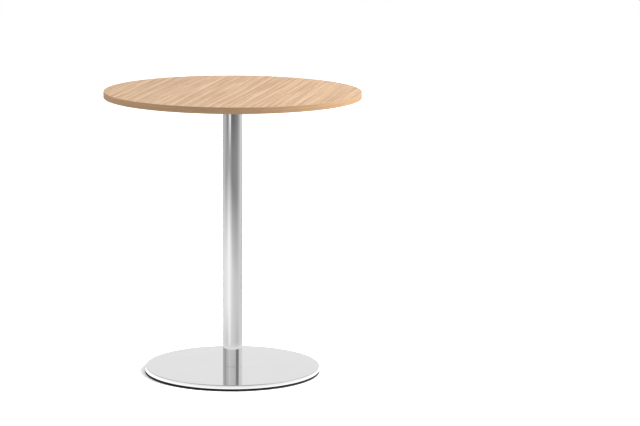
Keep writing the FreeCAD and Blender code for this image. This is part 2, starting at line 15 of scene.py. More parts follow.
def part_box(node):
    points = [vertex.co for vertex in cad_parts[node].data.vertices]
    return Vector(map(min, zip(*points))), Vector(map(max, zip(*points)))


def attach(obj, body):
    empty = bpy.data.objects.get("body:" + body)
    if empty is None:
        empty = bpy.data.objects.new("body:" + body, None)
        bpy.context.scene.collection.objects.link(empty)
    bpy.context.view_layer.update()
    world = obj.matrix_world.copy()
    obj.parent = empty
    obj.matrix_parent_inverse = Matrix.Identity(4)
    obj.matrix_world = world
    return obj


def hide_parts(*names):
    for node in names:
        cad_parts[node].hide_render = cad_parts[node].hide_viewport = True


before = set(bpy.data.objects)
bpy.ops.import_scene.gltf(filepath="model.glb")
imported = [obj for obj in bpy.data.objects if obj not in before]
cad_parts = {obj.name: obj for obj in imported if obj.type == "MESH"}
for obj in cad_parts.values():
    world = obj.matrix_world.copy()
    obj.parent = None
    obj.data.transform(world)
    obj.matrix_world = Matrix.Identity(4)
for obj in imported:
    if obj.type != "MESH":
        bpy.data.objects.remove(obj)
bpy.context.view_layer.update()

bl_info = {
    "name": "Standing meeting table",
    "version": (1, 0, 0),
    "blender": (4, 5, 0),
    "location": "3D View > Sidebar > Table",
    "description": "Builds a round standing table with its finishes and a plain studio",
    "category": "Object",
}

MM = 0.001
SEAM = 1e-6              # points nearer than this are one point
SHARP = math.radians(32)
ROWS_A_TURN = 8.0        # rows of faces in one turn of a thread
THREAD_DEPTH = 0.6134    # depth of a thread, as a share of its pitch
BESIDE_BEND = 0.4 * MM   # a row of points this far from a bend keeps the wall beside it flat


def high(node):
    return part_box(node)[1]


def levels(node):
    """Heights of a node's foot and its top."""
    lowest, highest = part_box(node)
    return lowest.z, highest.z


# ---------------------------------------------------------------- settings

def length(name, description, default):
    return FloatProperty(
        name=name, description=description, default=default, min=0.0, precision=4,
        subtype="DISTANCE", unit="LENGTH",
    )


def colour(name, description, default):
    return FloatVectorProperty(
        name=name, description=description, default=default, min=0.0, max=1.0, size=3,
        subtype="COLOR",
    )


def share(name, description, default):
    return FloatProperty(
        name=name, description=description, default=default, min=0.0, max=1.0,
        subtype="FACTOR",
    )


def strength(name, description, default):
    return FloatProperty(
        name=name, description=description, default=default, min=0.0, max=4.0)


def power(name, description, default):
    return FloatProperty(
        name=name, description=description, default=default, min=0.0, unit="POWER")


def turn(name, description, degrees):
    return FloatProperty(
        name=name, description=description, default=math.radians(degrees),
        subtype="ANGLE", unit="ROTATION",
    )


def spot(name, description, default):
    return FloatVectorProperty(
        name=name, description=description, default=default, size=3, subtype="XYZ",
        unit="LENGTH",
    )


class TableSizes(bpy.types.PropertyGroup):
    """Sizes of the pieces.  Their defaults come from the frame where it has them."""

    top_radius: length(
        "Top radius", "Middle of the table to the outside of the lipping",
        high("top_edge_band").x)
    band_thickness: length("Lipping", "Thickness of the oak lipping", 2.0 * MM)
    band_round: length("Arris", "Round on the lipping's outer edges", 1.0 * MM)
    glue_line: length("Glue line", "Fine groove between face veneer and lipping", 0.15 * MM)
    column_radius: length("Column radius", "Outside of the tube", high("column_tube").x)
    column_wall: length("Column wall", "Wall of the tube", 1.5 * MM)
    column_deburr: length("Column ends", "Round on the tube's ends", 0.3 * MM)
    base_radius: length("Base radius", "Outside of the polished cover", high("base_cover").x)
    cover_sheet: length("Cover sheet", "Thickness of the spun cover", 1.5 * MM)
    cover_rim: length("Cover rim", "Outer round of the cover's rim", 2.5 * MM)
    cover_hole: length("Cover hole", "Radius of the hole under the column", 20.1 * MM)
    casting_round: length("Casting round", "Softening of the casting's edges", 0.6 * MM)
    hub_overhang: length("Hub overhang", "Hub of the casting beyond the column", 6.0 * MM)
    inner_screws: length("Inner screws", "Middle of the table to the inner screws", 120 * MM)
    outer_screws: length("Outer screws", "Middle of the table to the outer screws", 262 * MM)
    screw_radius: length("Screw radius", "Outside of a spider screw's thread", 3.0 * MM)
    screw_head: length("Screw head", "Radius of a spider screw's head", 5.5 * MM)
    screw_pitch: length("Screw pitch", "Pitch of the spider screws", 1.0 * MM)
    rod_radius: length("Rod radius", "Outside of the tie rod's thread", high("tie_rod").x)
    rod_pitch: length("Rod pitch", "Pitch of the tie rod", 1.75 * MM)
    glide_radius: length("Glide radius", "Outside of a glide's thread", 4.0 * MM)
    glide_pitch: length("Glide pitch", "Pitch of the levelling glides", 1.25 * MM)
    round_steps: IntProperty(
        name="Segments", description="Faces round each large turned piece",
        default=288, min=48, max=720)


class TableFinish(bpy.types.PropertyGroup):
    """Colours and gloss of the finishes."""

    oak_light: colour("Oak, light", "Light streaks of the face veneer", (0.79, 0.54, 0.335))
    oak_middle: colour("Oak, middle", "Ground of the face veneer", (0.595, 0.375, 0.208))
    oak_dark: colour("Oak, dark", "Dark streaks of the face veneer", (0.43, 0.25, 0.128))
    edge_light: colour("Lipping, light", "Light streaks of the lipping", (0.68, 0.44, 0.25))
    edge_dark: colour("Lipping, dark", "Dark streaks of the lipping", (0.50, 0.305, 0.17))
    grain_direction: turn("Grain direction", "Way the veneer's grain runs in plan", 79.0)
    lacquer: share("Lacquer", "Roughness of the satin lacquer", 0.5)
    chrome: colour("Chrome", "Chrome plate of the column", (0.806, 0.806, 0.807))
    chrome_gloss: share("Chrome gloss", "Roughness of the chrome plate", 0.035)
    steel: colour("Polished steel", "Cover of the base", (0.685, 0.685, 0.685))
    steel_gloss: share("Steel gloss", "Roughness of the polished steel", 0.06)
    aluminium: colour("Cast aluminium", "Spider", (0.60, 0.61, 0.62))
    zinc: colour("Zinc plate", "Screws, nuts, washers and studs", (0.62, 0.64, 0.66))
    turned_steel: colour("Turned steel", "Centring piece in the column's foot",
                         (0.50, 0.51, 0.52))
    paint: colour("Powder coat", "Ballast plate", (0.022, 0.022, 0.024))
    nylon: colour("Nylon", "Feet of the glides", (0.018, 0.018, 0.019))
    chipboard_light: colour("Chipboard, light", "Pale chips of the core", (0.62, 0.46, 0.28))
    chipboard_dark: colour("Chipboard, dark", "Dark chips of the core", (0.30, 0.19, 0.10))


class TableStudio(bpy.types.PropertyGroup):
    """Camera, floor and light."""

    lens: FloatProperty(
        name="Lens", description="Focal length", default=143.22, min=1.0,
        subtype="DISTANCE_CAMERA")
    camera_place: spot("Camera", "Place of the camera", (0.34072, -9.7882, 2.3412))
    camera_pitch: turn("Pitch", "Camera looks down by this much", 9.9079)
    camera_roll: turn("Roll", "Camera leans to its left by this much", 0.4039)
    floor_reach: length("Floor reach", "Middle of the floor to its sides", 14.0)
    floor_gap: length(
        "Floor gap", "Floor below the pads, so that their faces never share a plane", 0.2 * MM)
    floor_white: strength("Floor white", "How white the floor looks to the camera", 3.0)
    floor_colour: share("Floor colour", "Reflectance of the floor for soft light", 0.8)
    key_power: power("Soft light", "Power of the soft light at the right", 307.0)
    key_size: length("Soft light size", "Width of the soft light at the right", 3.6)
    key_place: spot("Soft light place", "Place of the soft light at the right",
                    (4.23, 0.0, 4.27))
    fill_power: power("Fill light", "Power of the weaker light at the left", 26.0)
    fill_size: length("Fill light size", "Width of the weaker light at the left", 3.0)
    fill_place: spot("Fill light place", "Place of the weaker light at the left",
                     (-4.5, 0.0, 2.0))
    room_level: strength("Room", "Strength of the soft light from the room", 0.8)


def settings(context):
    return context.scene.table_sizes, context.scene.table_finish


# ---------------------------------------------------------------- node recipes

class Wire:
    """A value in a node tree.  Arithmetic on it adds math nodes to the tree."""

    def __init__(self, recipe, socket):
        self.recipe, self.socket = recipe, socket

    def __add__(self, other):
        return self.recipe.math("ADD", self, other)

    def __sub__(self, other):
        return self.recipe.math("SUBTRACT", self, other)

    def __rsub__(self, other):
        return self.recipe.math("SUBTRACT", other, self)

    def __mul__(self, other):
        return self.recipe.math("MULTIPLY", self, other)

    def __truediv__(self, other):
        return self.recipe.math("DIVIDE", self, other)

    def __rtruediv__(self, other):
        return self.recipe.math("DIVIDE", other, self)

    def __neg__(self):
        return self * -1.0


class Recipe:
    """Adds nodes to a tree and links them, so that each tree reads as a list of steps."""

    def __init__(self, tree):
        self.tree = tree

    def feed(self, node, inputs):
        """Sets a node's inputs, or links them to wires, sockets or nodes' first outputs."""
        for name, value in inputs.items():
            if isinstance(value, Wire):
                value = value.socket
            elif isinstance(value, bpy.types.Node):
                value = value.outputs[0]
            if isinstance(value, bpy.types.NodeSocket):
                self.tree.links.new(value, node.inputs[name])
            else:
                node.inputs[name].default_value = value

    def node(self, kind, inputs=None, **properties):
        node = self.tree.nodes.new(kind)
        for name, value in properties.items():
            setattr(node, name, value)
        self.feed(node, inputs or {})
        return node

    def value(self, kind, inputs=None, output=0, **properties):
        return Wire(self, self.node(kind, inputs, **properties).outputs[output])

    def outputs(self, node):
        return {socket.name: Wire(self, socket) for socket in node.outputs}

    def group(self, name, build, inputs):
        """Adds the node group of that name, built the first time, and gives its outputs."""
        kind = self.tree.bl_idname.replace("Tree", "Group")
        return self.outputs(self.node(kind, inputs, node_tree=shared(name, build)))

    def math(self, operation, *values, clamp=False):
        return self.value("ShaderNodeMath", dict(enumerate(values)), operation=operation,
                          use_clamp=clamp)

    def vector(self, x=0.0, y=0.0, z=0.0):
        return self.value("ShaderNodeCombineXYZ", {"X": x, "Y": y, "Z": z})

    def split(self, vector):
        return self.outputs(self.node("ShaderNodeSeparateXYZ", {"Vector": vector})).values()

    def noise(self, vector, scale=1.0, detail=2.0, rough=0.5):
        return self.value("ShaderNodeTexNoise", {
            "Vector": vector, "Scale": scale, "Detail": detail, "Roughness": rough})

    def spread(self, value, from_low, from_high, to_low=0.0, to_high=1.0):
        return self.value("ShaderNodeMapRange", {
            "Value": value, "From Min": from_low, "From Max": from_high,
            "To Min": to_low, "To Max": to_high})

    def mix(self, factor, first, second, kind="MIX"):
        return self.value("ShaderNodeMix", {0: factor, 6: first, 7: second}, 2,
                          data_type="RGBA", blend_type=kind)

    def ramp(self, factor, *stops):
        """A grey that changes evenly from each stop of (place, grey) to the next."""
        node = self.node("ShaderNodeValToRGB", {"Fac": factor})
        elements = node.color_ramp.elements
        elements.remove(elements[-1])
        for number, (place, grey) in enumerate(stops):
            stop = elements.new(place) if number else elements[0]
            stop.position = place
            stop.color = (grey, grey, grey, 1.0)
        return Wire(self, node.outputs[0])

    def join(self, *parts):
        node = self.node("GeometryNodeJoinGeometry")
        for part in parts:
            self.feed(node, {0: part})
        return node

    def distance(self, x, y):
        return self.math("SQRT", x * x + y * y)

    def place_around(self, x, y):
        """0 to 1 anticlockwise round the Z axis, seen from above: 0.5 is the front and 0.75
        the right."""
        return self.math("ARCTAN2", x, -y) / math.tau + 0.5

    def by_ray(self, soft, mirrored, camera):
        """One shader for soft light, one for reflections and one for the camera."""
        path = self.node("ShaderNodeLightPath").outputs
        glossy = self.math("MAXIMUM", path["Is Glossy Ray"], path["Is Transmission Ray"])
        shown = self.node("ShaderNodeMixShader", {0: glossy, 1: soft, 2: mirrored})
        return self.node("ShaderNodeMixShader", {
            0: path["Is Camera Ray"], 1: shown, 2: camera})


def blank_recipe(owner):
    """The recipe of a material's or a world's node tree, which starts empty."""
    owner.use_nodes = True
    owner.node_tree.nodes.clear()
    return Recipe(owner.node_tree)


def new_group(name, kind, inputs, outputs):
    """An empty node group with named sockets, its recipe, its inputs and its output node."""
    tree = bpy.data.node_groups.new(name, kind)
    for side, sockets in (("INPUT", inputs), ("OUTPUT", outputs)):
        for title, socket in sockets.items():
            tree.interface.new_socket(title, in_out=side, socket_type="NodeSocket" + socket)
    r = Recipe(tree)
    return tree, r, r.outputs(r.node("NodeGroupInput")), r.node("NodeGroupOutput")


def shared(name, build):
    """The node group of that name, built the first time it is asked for."""
    return bpy.data.node_groups.get(name) or build(name)


# ---------------------------------------------------------------- patterns of the finishes

def oak_grain(name):
    """Straight oak grain: broad bands, streaks, fibres and pores along X of the vector."""
    tree, r, given, result = new_group(
        name, "ShaderNodeTree",
        {"Vector": "Vector", "Light": "Color", "Middle": "Color", "Dark": "Color",
         "Streak width": "Float", "Contrast": "Float"},
        {"Color": "Color", "Height": "Float", "Pores": "Float"})
    along, across, depth = r.split(given["Vector"])
    wander = r.noise(r.vector(along * 1.1, across * 3.0))
    line = across + (wander - 0.5) * 0.012 + depth
    streak = line / given["Streak width"]

    def layer(along_scale, across_scale, shift, detail=2.0, source=line):
        return r.noise(r.vector(along * along_scale, source * across_scale, shift),
                       detail=detail)

    def lines(spacing, shift, thin):
        """Thin lines a spacing apart, which wander a little and come and go."""
        stray = layer(0.7, 0.3, shift, 1.0, streak)
        phase = (streak * (1.0 / spacing) + stray) * math.tau
        wave = (fibres - 0.5) * 0.35 + r.math("SINE", phase)
        seen = r.spread(layer(2.4, 0.8, shift + 4.3, 1.0, streak), 0.40, 0.56)
        return r.spread(wave, thin, 0.98) * seen

    fibres = layer(16.0, 620.0, 3.9, 3.0)
    pores = layer(60.0, 2300.0, 5.3, 1.0)
    bands = layer(0.9, 0.24, 2.3, 1.0, streak)
    streaks = layer(2.6, 1.3, 7.1, 1.0, streak)
    tone = (bands - 0.5) * 0.2
    tone = (streaks - 0.5) * 0.8 + tone
    tone = (fibres - 0.5) * 0.8 + tone
    tone = tone * given["Contrast"] + 0.5
    ground = r.mix(r.spread(tone, 0.2, 0.5), given["Dark"], given["Middle"])
    ground = r.mix(r.spread(tone, 0.5, 0.8), ground, given["Light"])
    for spacing, shift, thin, opacity, shade in (
            (1.55, 23.9, 0.55, 0.55, "Dark"), (2.3, 17.1, 0.6, 0.5, "Light"),
            (3.6, 11.7, 0.7, 0.9, "Light")):
        mask = lines(spacing, shift, thin) * given["Contrast"]
        ground = r.mix(mask * opacity, ground, given[shade])
    pore = r.spread(pores, 0.62, 0.74)
    r.feed(result, {
        "Color": r.mix(pore * 0.35, ground, given["Dark"], "MULTIPLY"),
        "Height": fibres * 0.25 - pore, "Pores": pore})
    return tree


def polish(name):
    """Handling haze, and fine lines that run the way in which the Lines vector changes least."""
    tree, r, given, result = new_group(
        name, "ShaderNodeTree",
        {"Vector": "Vector", "Lines": "Vector", "Gloss": "Float", "Haze": "Float"},
        {"Roughness": "Float", "Height": "Float", "Tone": "Float"})
    cloud = r.spread(r.noise(given["Vector"], 7.0, 4.0, 0.6), 0.42, 0.72)
    wipe = r.spread(r.noise(given["Vector"], 38.0, 3.0, 0.7), 0.5, 0.8)
    lines = r.noise(given["Lines"], 1.0, 2.0, 0.6)
    haze = (cloud + wipe * 0.5) * given["Haze"]
    r.feed(result, {
        "Roughness": given["Gloss"] + haze + lines * (given["Gloss"] * 0.5),
        "Height": lines, "Tone": cloud * lines})
    return tree


def grit(name):
    """A fine random skin, for castings, paint, moulded plastic and plating."""
    tree, r, given, result = new_group(
        name, "ShaderNodeTree",
        {"Vector": "Vector", "Grain size": "Float", "Patch size": "Float"},
        {"Height": "Float", "Mask": "Float", "Patches": "Float"})
    fine = r.noise(given["Vector"], 1.0 / given["Grain size"], 3.0, 0.6)
    patches = r.noise(given["Vector"], 1.0 / given["Patch size"], 2.0, 0.5)
    r.feed(result, {"Height": fine, "Mask": r.spread(fine, 0.35, 0.65),
                    "Patches": r.spread(patches, 0.35, 0.65)})
    return tree


# ---------------------------------------------------------------- finishes

def new_finish(name, metallic=0.0):
    """A material, its recipe and its one Principled shader."""
    material = bpy.data.materials.new(name)
    r = blank_recipe(material)
    shader = r.node("ShaderNodeBsdfPrincipled", {"Metallic": metallic})
    r.node("ShaderNodeOutputMaterial", {"Surface": shader})
    return material, r, shader


def place_of(r):
    return r.value("ShaderNodeTexCoord", output="Object")


def stretched(r, *scale):
    """Object coordinates, scaled along each axis."""
    return r.value("ShaderNodeMapping", {"Vector": place_of(r), "Scale": Vector(scale)})


def raise_skin(r, shader, height, depth):
    r.feed(shader, {"Normal": r.node("ShaderNodeBump", {
        "Height": height, "Distance": depth, "Strength": 1.0})})


def tint(value, factor):
    return tuple(min(1.0, channel * factor) for channel in value) + (1.0,)


def solid(value):
    return tuple(value) + (1.0,)


def oak_finish(name, vector, light, middle, dark, streak, contrast, roughness):
    material, r, shader = new_finish(name)
    grain = r.group("Oak grain", oak_grain, {
        "Vector": vector(r), "Light": solid(light), "Middle": solid(middle),
        "Dark": solid(dark), "Streak width": streak, "Contrast": contrast})
    r.feed(shader, {
        "Base Color": grain["Color"], "Specular IOR Level": 0.3,
        "Roughness": r.spread(grain["Pores"], 0.0, 1.0, roughness, roughness + 0.2)})
    raise_skin(r, shader, grain["Height"], 0.05 * MM)
    return material


def turned_grain(direction):
    """Object coordinates turned so that X runs along the grain."""
    def vector(r):
        return r.value("ShaderNodeMapping", {
            "Vector": place_of(r), "Rotation": Euler((0.0, 0.0, -direction))})
    return vector


def wrapped_grain(r):
    """The strip's own map: X along the strip, Y across it, both in metres."""
    return r.value("ShaderNodeUVMap", uv_map="wrap")


def metal_finish(name, value, gloss, haze, lines, depth=0.0):
    """A polished metal; lines(r) gives the vector of its polishing lines."""
    material, r, shader = new_finish(name, metallic=1.0)
    buffed = r.group("Polish", polish, {
        "Vector": place_of(r), "Lines": lines(r), "Gloss": gloss, "Haze": haze})
    r.feed(shader, {
        "Base Color": r.mix(buffed["Tone"], solid(value), tint(value, 0.96)),
        "Roughness": buffed["Roughness"]})
    if depth:
        raise_skin(r, shader, buffed["Height"], depth)
    return material


def lengthwise_lines(r):
    """Lines along a column: quick to change round it, slow to change up it."""
    return stretched(r, 900.0, 900.0, 3.0)


def circular_lines(r):
    """Rings round the middle of the table, as a lathe leaves them."""
    x, y, z = r.split(place_of(r))
    return r.vector(r.distance(x, y) * 2200.0, z * 2200.0, x * 1.5)


def grit_finish(name, value, shade, grain, patch, roughness, depth, metallic=0.0):
    """A skin whose colour and gloss vary with a fine random grain and broad patches."""
    material, r, shader = new_finish(name, metallic)
    skin = r.group("Grit", grit, {
        "Vector": place_of(r), "Grain size": grain, "Patch size": patch})
    broad = r.mix(skin["Patches"], tint(value, shade), solid(value))
    r.feed(shader, {
        "Base Color": r.mix(skin["Mask"] * 0.35, broad, tint(value, 1.15)),
        "Roughness": r.spread(skin["Patches"], 0.0, 1.0, roughness * 0.95,
                              roughness * 1.05)})
    raise_skin(r, shader, skin["Height"], depth)
    return material


def chipboard_finish(name, light, dark):
    """Pressed chips: flat cells of several browns, each cell one chip."""
    material, r, shader = new_finish(name)
    chips = r.outputs(r.node("ShaderNodeTexVoronoi", {
        "Vector": stretched(r, 260.0, 420.0, 900.0), "Scale": 1.0}))
    dust = r.noise(place_of(r), 1800.0, 2.0)
    tone, _, _ = r.split(chips["Color"])
    shade = r.mix(tone, solid(dark), solid(light))
    r.feed(shader, {
        "Base Color": r.mix(dust * 0.5, shade, solid(light)),
        "Roughness": r.spread(dust, 0.0, 1.0, 0.75, 0.95)})
    raise_skin(r, shader, chips["Distance"], 0.2 * MM)
    return material


# ---------------------------------------------------------------- geometry trees

def new_shape(name, inputs):
    """An empty geometry tree: its recipe, its inputs, and give(geometry), which makes that
    the tree's result, with its instances realized and in the finish that the tree is given."""
    tree, r, given, result = new_group(
        name, "GeometryNodeTree", {**inputs, "Finish": "Material"}, {"Geometry": "Geometry"})

    def give(geometry):
        real = r.node("GeometryNodeRealizeInstances", {"Geometry": geometry})
        r.feed(result, {"Geometry": r.node("GeometryNodeSetMaterial", {
            "Geometry": real, "Material": given["Finish"]})})
        return tree

    return r, given, give


def sheet_of_rows(r, rows, segments):
    """A sheet to wrap round the Z axis, each point's row and its share of the way round."""
    sheet = r.value("GeometryNodeMeshGrid", {
        "Size X": 1.0, "Size Y": 1.0, "Vertices X": segments + 1.0, "Vertices Y": rows},
        "Mesh")
    index = r.value("GeometryNodeInputIndex")
    step = r.math("FLOOR", (index + 0.5) / rows)
    return sheet, index - step * rows, step / segments


def wrapped_sheet(r, sheet, radius, angle, height):
    return r.node("GeometryNodeSetPosition", {
        "Geometry": sheet, "Position": r.vector(
            radius * r.math("COSINE", angle), radius * r.math("SINE", angle), height)})


def closed_skin(r, sheet):
    """Joins a wrapped sheet along its seam and at its poles, and shades it smooth."""
    closed = r.node("GeometryNodeMergeByDistance", {"Geometry": sheet, "Distance": SEAM})
    return r.node("GeometryNodeSetShadeSmooth", {"Geometry": closed})


def turned_tree(name):
    """Turns the object's profile, a row of points in XZ, round the Z axis.
    Each face corner keeps its place on the strip in the map "wrap", in metres."""
    r, given, give = new_shape(name, {
        "Profile": "Geometry", "Segments": "Int", "Start angle": "Float",
        "Wrap radius": "Float"})
    rows = r.value("GeometryNodeAttributeDomainSize", {"Geometry": given["Profile"]},
                   "Point Count")
    sheet, row, share_round = sheet_of_rows(r, rows, given["Segments"])

    def on_profile(kind, value):
        """What the profile's point in the same row holds."""
        return r.value("GeometryNodeSampleIndex", {
            "Geometry": given["Profile"], "Index": row, "Value": value}, data_type=kind)

    radius, _, height = r.split(
        on_profile("FLOAT_VECTOR", r.node("GeometryNodeInputPosition")))
    run = on_profile("FLOAT", r.node(
        "GeometryNodeInputNamedAttribute", {"Name": "run"}, data_type="FLOAT"))
    angle = share_round * math.tau
    shaped = wrapped_sheet(r, sheet, radius, angle + given["Start angle"], height)
    on_points = r.node(
        "GeometryNodeFieldOnDomain", {"Value": r.vector(angle * given["Wrap radius"], run)},
        data_type="FLOAT_VECTOR", domain="POINT")
    mapped = r.node(
        "GeometryNodeStoreNamedAttribute",
        {"Geometry": shaped, "Name": "wrap", "Value": on_points},
        data_type="FLOAT2", domain="CORNER")
    return give(closed_skin(r, mapped))


def threaded_tree(name):
    """A rod with a helical thread at its foot and its top, bevelled ends and a plain shank.
    Rows of faces follow the helix, and are held at the ends of each thread."""
    r, given, give = new_shape(name, {
        "Foot": "Float", "Top": "Float", "Foot thread": "Float", "Top thread": "Float",
        "Radius": "Float", "Pitch": "Float", "Bevel": "Float", "Segments": "Int"})
    foot, top, pitch = given["Foot"], given["Top"], given["Pitch"]
    depth = pitch * THREAD_DEPTH

    def rows_for(thread):
        return r.math("CEIL", thread / pitch + 2.0) * ROWS_A_TURN

    foot_rows = rows_for(given["Foot thread"])
    rows = foot_rows + rows_for(given["Top thread"]) + 2.0
    sheet, row, share_round = sheet_of_rows(r, rows, given["Segments"])
    upper = r.math("GREATER_THAN", row, foot_rows + 0.5)
    shank_foot = foot + given["Foot thread"]
    shank_top = top - given["Top thread"]

    def choose(lower_value, upper_value):
        return upper * (upper_value - lower_value) + lower_value

    start, end = choose(foot, shank_top), choose(shank_foot, top)
    first = upper * foot_rows + 1.0
    lead = (share_round - 1.0) * pitch
    rise = (row - first) * (pitch / ROWS_A_TURN) + lead
    height = r.math("MINIMUM", r.math("MAXIMUM", start + rise, start), end)
    phase = (r.math("MODULO", row, ROWS_A_TURN) + 0.5) / ROWS_A_TURN
    flank = r.spread(r.math("ABSOLUTE", phase - 0.5), 0.125, 0.4375)
    groove = (1.0 - flank) * depth
    from_shank = choose(shank_foot - height, height - shank_top)
    fade = r.math("DIVIDE", from_shank, pitch, clamp=True)
    radius = given["Radius"] - groove * fade
    end_radius = given["Radius"] - r.math("MAXIMUM", given["Bevel"], depth)
    to_end = r.math("MINIMUM", height - foot, top - height)
    radius = r.math("MINIMUM", radius, end_radius + to_end)
    inside = r.math("GREATER_THAN", row, 0.5) * r.math("LESS_THAN", row, rows - 1.5)
    shaped = wrapped_sheet(r, sheet, radius * inside, share_round * math.tau, height)
    return give(closed_skin(r, shaped))


def threaded_shank(r, given, values):
    """A threaded rod with the radius, pitch, bevel and finish that the tree is given."""
    passed = {title: given[title] for title in ("Radius", "Pitch", "Bevel", "Finish")}
    return r.group("Threaded rod", threaded_tree, {**passed, **values})["Geometry"]


def screw_set_tree(name):
    """Sets the object's screw head, with a threaded shank, head down on two circles."""
    r, given, give = new_shape(name, {
        "Head": "Geometry", "Arms": "Int", "Inner circle": "Float", "Outer circle": "Float",
        "Seat": "Float", "Shank": "Float", "Radius": "Float", "Pitch": "Float",
        "Bevel": "Float", "Seed": "Int"})
    into_head = 0.3 * MM
    shank = threaded_shank(r, given, {
        "Foot": -given["Shank"], "Top": into_head, "Foot thread": given["Shank"],
        "Top thread": 0.0, "Segments": 24})
    circles = [r.node("GeometryNodeMeshCircle", {
        "Vertices": given["Arms"], "Radius": given[circle]})
        for circle in ("Inner circle", "Outer circle")]
    raised = r.node("GeometryNodeSetPosition", {
        "Geometry": r.join(*circles), "Offset": r.vector(0.0, 0.0, given["Seat"])})
    driven = r.value("FunctionNodeRandomValue", {"Seed": given["Seed"], 3: math.tau}, 1,
                     data_type="FLOAT")
    return give(r.node("GeometryNodeInstanceOnPoints", {
        "Points": raised, "Instance": r.join(given["Head"], shank),
        "Rotation": r.vector(math.pi, 0.0, driven)}))


def glide_stud_tree(name):
    """Joins the object's button and spanner flats to a threaded shank, and sets it in place."""
    r, given, give = new_shape(name, {
        "Foot piece": "Geometry", "Place": "Vector", "Foot": "Float", "Top": "Float",
        "Radius": "Float", "Pitch": "Float", "Bevel": "Float"})
    shank = threaded_shank(r, given, {
        "Foot": given["Foot"], "Top": given["Top"], "Foot thread": 0.0,
        "Top thread": given["Top"] - given["Foot"], "Segments": 40})
    return give(r.node("GeometryNodeTransform", {
        "Geometry": r.join(given["Foot piece"], shank), "Translation": given["Place"]}))


# ---------------------------------------------------------------- mesh helpers

def new_piece(name, points=(), faces=()):
    mesh = bpy.data.meshes.new(name)
    mesh.from_pydata(points, (), faces)
    piece = bpy.data.objects.new(name, mesh)
    bpy.context.scene.collection.objects.link(piece)
    return piece


def add_tree(piece, tree, values):
    """Puts a geometry tree on a piece, with its inputs set by their sockets' identifiers."""
    modifier = piece.modifiers.new(tree.name, "NODES")
    modifier.node_group = tree
    for socket in tree.interface.items_tree:
        if socket.in_out == "INPUT" and socket.name in values:
            modifier[socket.identifier] = values[socket.name]


def settle(piece, finish):
    """Makes what the modifiers give the piece's own plain mesh, in one material."""
    bpy.context.view_layer.update()
    evaluated = piece.evaluated_get(bpy.context.evaluated_depsgraph_get())
    mesh = bpy.data.meshes.new_from_object(evaluated)
    mesh.name = piece.name
    piece.modifiers.clear()
    piece.data = mesh
    mesh.materials.clear()
    mesh.materials.append(finish)
    mesh.polygons.foreach_set("material_index", [0] * len(mesh.polygons))
    mesh.set_sharp_from_angle(angle=SHARP)
    mesh.update()


def arc(radius, height, size, start, end, steps=7):
    """Points of an arc in the profile's plane, in degrees from outward towards up."""
    for step in range(steps + 1):
        angle = math.radians(start + (end - start) * step / steps)
        yield radius + size * math.cos(angle), height + size * math.sin(angle)


def turned_piece(name, profile, finish, segments, wrap_radius, start_angle=0.0):
    """A piece turned from a profile of (radius, height) points, up on the outside."""
    piece = new_piece(name, [(radius, 0.0, height) for radius, height in profile])
    run, runs = 0.0, []
    for number, point in enumerate(profile):
        if number:
            run += math.dist(profile[number - 1], point)
        runs.append(run)
    piece.data.attributes.new("run", "FLOAT", "POINT").data.foreach_set("value", runs)
    add_tree(piece, shared("Turned piece", turned_tree), {
        "Segments": segments, "Start angle": start_angle, "Wrap radius": wrap_radius,
        "Finish": finish})
    settle(piece, finish)
    return piece


def ring(count, radius, height):
    """Points round a circle; radius and height may follow the angle."""
    points = []
    for number in range(count):
        angle = math.tau * number / count
        reach = radius(angle) if callable(radius) else radius
        level = height(angle) if callable(height) else height
        points.append((reach * math.cos(angle), reach * math.sin(angle), level))
    return points


def hexagon(across_flats):
    """Radius of a hexagon at an angle."""
    def radius(angle):
        sixth = math.pi / 3
        return across_flats / 2 / math.cos((angle + sixth / 2) % sixth - sixth / 2)
    return radius


def skinned_piece(name, rings):
    """A closed skin over a stack of rings, from the lowest to the highest or innermost."""
    count = len(rings[0])
    points = [point for stage in rings for point in stage]
    faces = [tuple(reversed(range(count)))]
    for level in range(len(rings) - 1):
        base = level * count
        for number in range(count):
            after = (number + 1) % count
            faces.append((base + number, base + after, base + count + after,
                          base + count + number))
    faces.append(tuple(range(len(points) - count, len(points))))
    return new_piece(name, points, faces)


def refine_round_wall(form, radius):
    """Divides the long edges of an upright round wall and sets the new points on it."""
    longest, off_wall = 2.0 * MM, 0.05 * MM

    def on_wall(point):
        return abs(point.co.xy.length - radius) < off_wall

    coarse = [edge for edge in form.edges
              if all(on_wall(point) for point in edge.verts)
              and (edge.verts[0].co.xy - edge.verts[1].co.xy).length > longest]
    made = bmesh.ops.subdivide_edges(form, edges=coarse, cuts=2)
    for point in made["geom_inner"]:
        if isinstance(point, bmesh.types.BMVert):
            point.co.xy *= radius / point.co.xy.length


def finish_nodes(finish, *nodes):
    """Gives carried-over frame nodes their finish."""
    for node in nodes:
        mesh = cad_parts[node].data
        mesh.materials.clear()
        mesh.materials.append(finish)


# ---------------------------------------------------------------- operators

